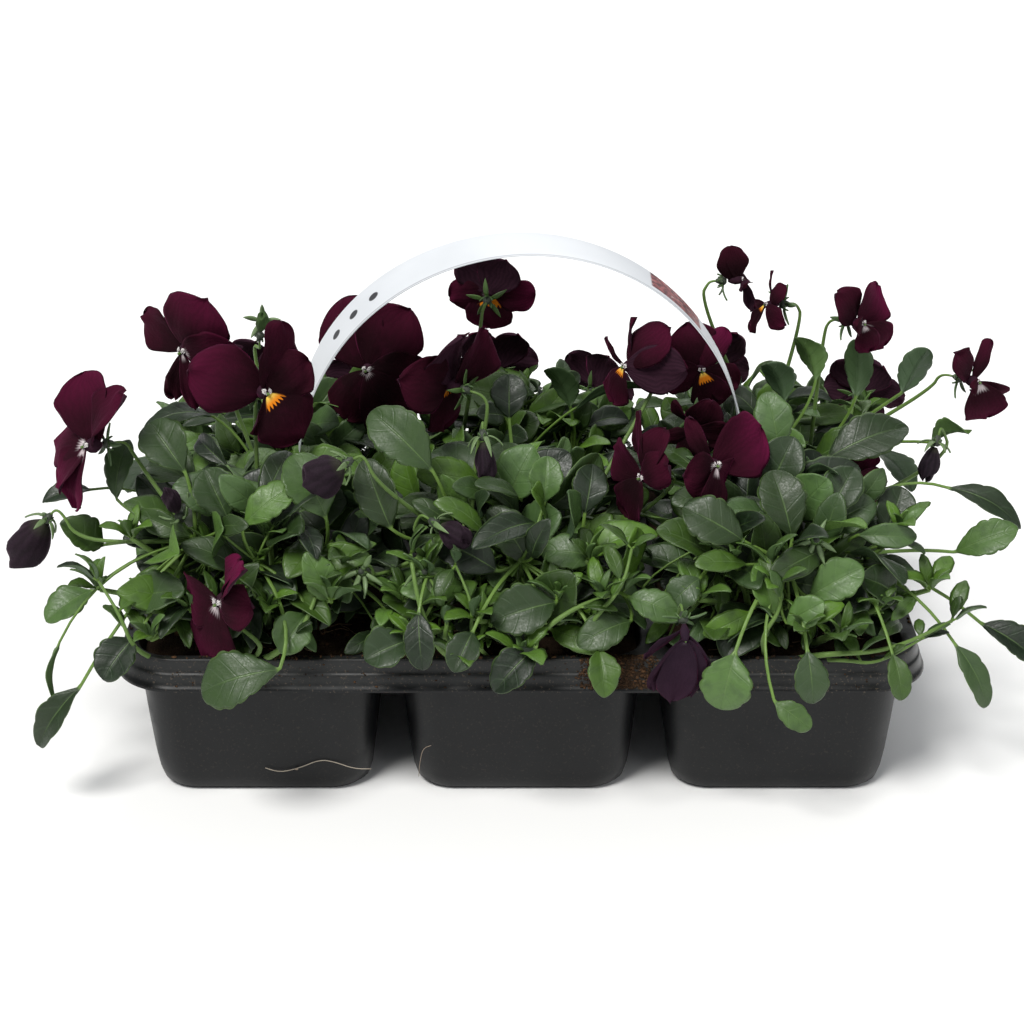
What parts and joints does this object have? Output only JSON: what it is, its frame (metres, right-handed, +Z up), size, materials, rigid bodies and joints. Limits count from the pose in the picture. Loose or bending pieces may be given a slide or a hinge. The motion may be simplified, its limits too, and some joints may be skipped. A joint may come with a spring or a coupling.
{
  "type": "potted pansy planter",
  "caption": "Black plastic multi-cell bedding tray of dark burgundy pansies in soil, with an arched white carry strip over the middle.",
  "frame": {"origin": "middle of the tray's footprint, on the surface that it stands on", "axes": "+Z up, +X to the right along the tray's long side, front of the tray towards -Y"},
  "size_m": [0.3581, 0.2292, 0.1764],
  "materials": {
    "tray_plastic": "satin black, thin formed sheet, a little dusty",
    "strip_plastic": "smooth, cool white, printed with plain marks",
    "soil": "damp crumbly potting soil with bark fibres",
    "foliage": "satin leaf, paler veins, bluish sheen",
    "petals": "velvet, burgundy black with magenta edges",
    "bud_petals": "velvet, dull plum"
  },
  "bodies": {
    "root": {"tray": "tray_plastic", "carry_strip": "strip_plastic", "soil_front_left": "soil", "soil_front_middle": "soil", "soil_front_right": "soil", "soil_back_left": "soil", "soil_back_middle": "soil", "soil_back_right": "soil", "plant_front_left": "foliage", "plant_front_middle": "foliage", "plant_front_right": "foliage", "plant_back_left": "foliage", "plant_back_middle": "foliage", "plant_back_right": "foliage", "bloom_01": "petals", "bloom_02": "petals", "bloom_03": "petals", "bloom_04": "petals", "bloom_05": "petals", "bloom_06": "petals", "bloom_07": "petals", "bloom_08": "petals", "bloom_09": "petals", "bloom_10": "petals", "bloom_11": "petals", "bloom_12": "petals", "bloom_13": "petals", "bloom_14": "petals", "bloom_15": "petals", "bloom_16": "petals", "bloom_17": "petals", "bloom_18": "petals", "bloom_19": "petals", "bloom_20": "petals", "bloom_21": "petals", "bloom_22": "petals", "bloom_23": "petals", "bloom_24": "petals", "bud_01": "bud_petals", "bud_02": "bud_petals", "bud_03": "bud_petals", "bud_04": "bud_petals", "bud_05": "bud_petals", "bud_06": "bud_petals", "bud_07": "bud_petals"}
  },
  "joints": []
}
